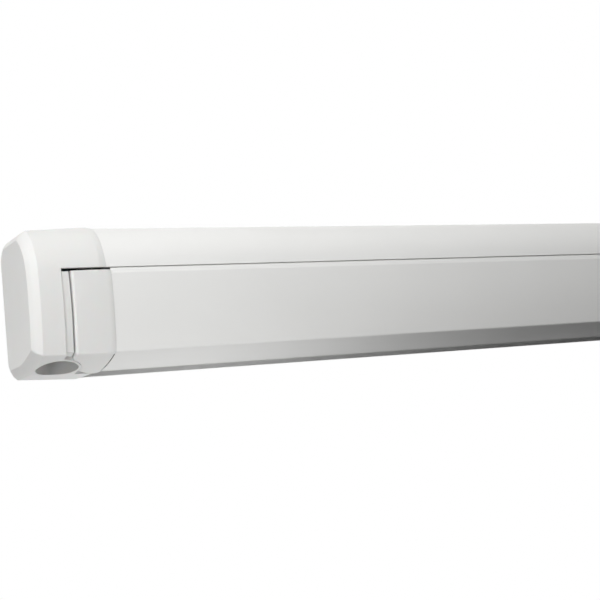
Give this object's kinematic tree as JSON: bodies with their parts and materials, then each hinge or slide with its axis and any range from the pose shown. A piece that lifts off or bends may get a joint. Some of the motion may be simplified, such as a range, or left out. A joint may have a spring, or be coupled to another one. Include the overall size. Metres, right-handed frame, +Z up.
{
  "type": "roll out awning",
  "caption": "Wall-mounted roll-out awning in a closed white case: fabric roller, folding arms, lead rail with two swing-down telescopic legs, crank gear and wall brackets.",
  "frame": {"origin": "centre of the four wall bolts, on the wall plane behind the case", "axes": "+X along the case, +Y into the wall, +Z up"},
  "size_m": [1.9, 0.0997, 0.1283],
  "materials": {
    "white_coated_profile": "white powder coat, satin",
    "white_cap_plastic": "white moulded plastic, semi-gloss",
    "grey_seal_rubber": "black rubber, matt",
    "cast_alloy": "die-cast alloy, light grey paint",
    "zinc_steel": "zinc plated",
    "bright_steel": "stainless, ground",
    "bush_plastic": "natural nylon, matt",
    "housing_plastic": "black glass-filled plastic, matt",
    "galvanised_roller": "galvanised, dull",
    "awning_fabric": "coated woven awning cloth, grey",
    "keder_cord": "white keder bead, matt",
    "bracket_alloy": "mill-finish extrusion",
    "crank_eye_plastic": "black nylon, matt",
    "white_arm_tube": "white powder coat, satin",
    "anodised_leg": "clear anodised, fine brushed",
    "leg_moulding": "grey glass-filled nylon, matt"
  },
  "bodies": {
    "case": {"case_profile": "white_coated_profile", "wall_seal": "grey_seal_rubber", "left_case_end_cap": "white_cap_plastic", "right_case_end_cap": "white_cap_plastic", "bearing_plates": "cast_alloy", "bearing_plate_screws": "zinc_steel", "roller_bushes": "bush_plastic", "gear_housing": "housing_plastic", "shoulder_brackets": "cast_alloy", "shoulder_bolts": "zinc_steel", "shoulder_pins": "bright_steel", "wall_brackets": "bracket_alloy", "lock_screws": "zinc_steel"},
    "roller": {"roller_tube": "galvanised_roller", "roller_plugs": "bush_plastic", "worm_wheel": "bush_plastic", "fabric_roll": "awning_fabric"},
    "crank_shaft": {"worm_shaft": "bright_steel", "crank_eye": "crank_eye_plastic"},
    "lead_rail": {"lead_rail_profile": "white_coated_profile", "left_rail_end_cap": "white_cap_plastic", "right_rail_end_cap": "white_cap_plastic", "rail_cap_screws": "zinc_steel", "rail_seal": "grey_seal_rubber", "wrist_brackets": "cast_alloy", "wrist_bolts": "zinc_steel", "wrist_pins": "bright_steel", "leg_brackets": "zinc_steel", "leg_pins": "bright_steel", "fabric_keder": "keder_cord"},
    "fabric_edge": {"fabric_hem": "awning_fabric", "fabric_span": "awning_fabric"},
    "left_upper_arm": {"left_upper_arm_tube": "white_arm_tube", "left_shoulder_knuckle": "cast_alloy", "left_elbow_fork": "cast_alloy", "left_elbow_pin": "bright_steel", "left_arm_spring": "bright_steel"},
    "left_forearm": {"left_forearm_tube": "white_arm_tube", "left_elbow_tongue": "cast_alloy", "left_wrist_knuckle": "cast_alloy"},
    "left_leg": {"left_leg_knuckle": "leg_moulding", "left_leg_outer_tube": "anodised_leg", "left_leg_collar": "leg_moulding"},
    "left_leg_lever": {"left_leg_lever": "leg_moulding"},
    "left_leg_inner": {"left_leg_inner_tube": "anodised_leg"},
    "left_leg_foot": {"left_leg_foot": "leg_moulding"},
    "right_upper_arm": {"right_upper_arm_tube": "white_arm_tube", "right_shoulder_knuckle": "cast_alloy", "right_elbow_fork": "cast_alloy", "right_elbow_pin": "bright_steel", "right_arm_spring": "bright_steel"},
    "right_forearm": {"right_forearm_tube": "white_arm_tube", "right_elbow_tongue": "cast_alloy", "right_wrist_knuckle": "cast_alloy"},
    "right_leg": {"right_leg_knuckle": "leg_moulding", "right_leg_outer_tube": "anodised_leg", "right_leg_collar": "leg_moulding"},
    "right_leg_lever": {"right_leg_lever": "leg_moulding"},
    "right_leg_inner": {"right_leg_inner_tube": "anodised_leg"},
    "right_leg_foot": {"right_leg_foot": "leg_moulding"}
  },
  "joints": [
    {"name": "awning_fold", "type": "hinge", "parent": "case", "child": "left_upper_arm", "pos_m": [-0.82, -0.024, -0.026], "axis": [0, 0.0698, -0.9976], "range_deg": [0, 72]},
    {"name": "left_elbow", "type": "hinge", "parent": "left_upper_arm", "child": "left_forearm", "pos_m": [-0.05, -0.03722, -0.02692], "axis": [0, 0.0698, -0.9976], "range_deg": [-144, 0]},
    {"name": "left_wrist", "type": "hinge", "parent": "left_forearm", "child": "lead_rail", "pos_m": [-0.82, -0.05044, -0.02785], "axis": [0, 0.0698, -0.9976], "range_deg": [0, 72]},
    {"name": "right_shoulder", "type": "hinge", "parent": "case", "child": "right_upper_arm", "pos_m": [0.82, -0.024, -0.026], "axis": [0, 0.0698, -0.9976], "range_deg": [-72, 0]},
    {"name": "right_elbow", "type": "hinge", "parent": "right_upper_arm", "child": "right_forearm", "pos_m": [0.05, -0.03722, -0.02692], "axis": [0, 0.0698, -0.9976], "range_deg": [0, 144]},
    {"name": "fabric_feed", "type": "slide", "parent": "case", "child": "fabric_edge", "axis": [0, -0.9976, -0.0698], "range_m": [0, 1.4468], "deforming": ["fabric_span"]},
    {"name": "roller_turn", "type": "hinge", "parent": "case", "child": "roller", "pos_m": [0, -0.045, 0.022], "axis": [-1, 0, 0], "range_deg": [0, 3042]},
    {"name": "crank_turn", "type": "hinge", "parent": "case", "child": "crank_shaft", "pos_m": [-0.923, -0.064, -0.034], "axis": [0, 0, 1], "range_deg": [-18247, 0]},
    {"name": "left_leg_swing", "type": "hinge", "parent": "lead_rail", "child": "left_leg", "pos_m": [-0.865, -0.0345, -0.0515], "axis": [0, 1, 0], "range_deg": [0, 90]},
    {"name": "left_leg_extend", "type": "slide", "parent": "left_leg", "child": "left_leg_inner", "axis": [1, 0, 0], "range_m": [0, 0.7]},
    {"name": "left_leg_clamp", "type": "hinge", "parent": "left_leg", "child": "left_leg_lever", "pos_m": [0.012, -0.0345, -0.0622], "axis": [0, -1, 0], "range_deg": [0, 100]},
    {"name": "left_foot_tilt", "type": "hinge", "parent": "left_leg_inner", "child": "left_leg_foot", "pos_m": [0.046, -0.0345, -0.0515], "axis": [0, 1, 0], "range_deg": [0, 90]},
    {"name": "right_leg_swing", "type": "hinge", "parent": "lead_rail", "child": "right_leg", "pos_m": [0.865, -0.015, -0.0515], "axis": [0, -1, 0], "range_deg": [0, 90]},
    {"name": "right_leg_extend", "type": "slide", "parent": "right_leg", "child": "right_leg_inner", "axis": [-1, 0, 0], "range_m": [0, 0.7]},
    {"name": "right_leg_clamp", "type": "hinge", "parent": "right_leg", "child": "right_leg_lever", "pos_m": [-0.012, -0.015, -0.0622], "axis": [0, 1, 0], "range_deg": [0, 100]},
    {"name": "right_foot_tilt", "type": "hinge", "parent": "right_leg_inner", "child": "right_leg_foot", "pos_m": [-0.046, -0.015, -0.0515], "axis": [0, -1, 0], "range_deg": [0, 90]}
  ],
  "couplings": [
    {"joint": "left_elbow", "follows": "awning_fold", "ratio": -2},
    {"joint": "left_wrist", "follows": "awning_fold", "ratio": 1},
    {"joint": "right_shoulder", "follows": "awning_fold", "ratio": -1},
    {"joint": "right_elbow", "follows": "awning_fold", "ratio": 2},
    {"joint": "fabric_feed", "follows": "awning_fold", "m_per_rad": 1.1509},
    {"joint": "roller_turn", "follows": "awning_fold", "ratio": 42.236},
    {"joint": "crank_turn", "follows": "awning_fold", "ratio": -253.42}
  ]
}
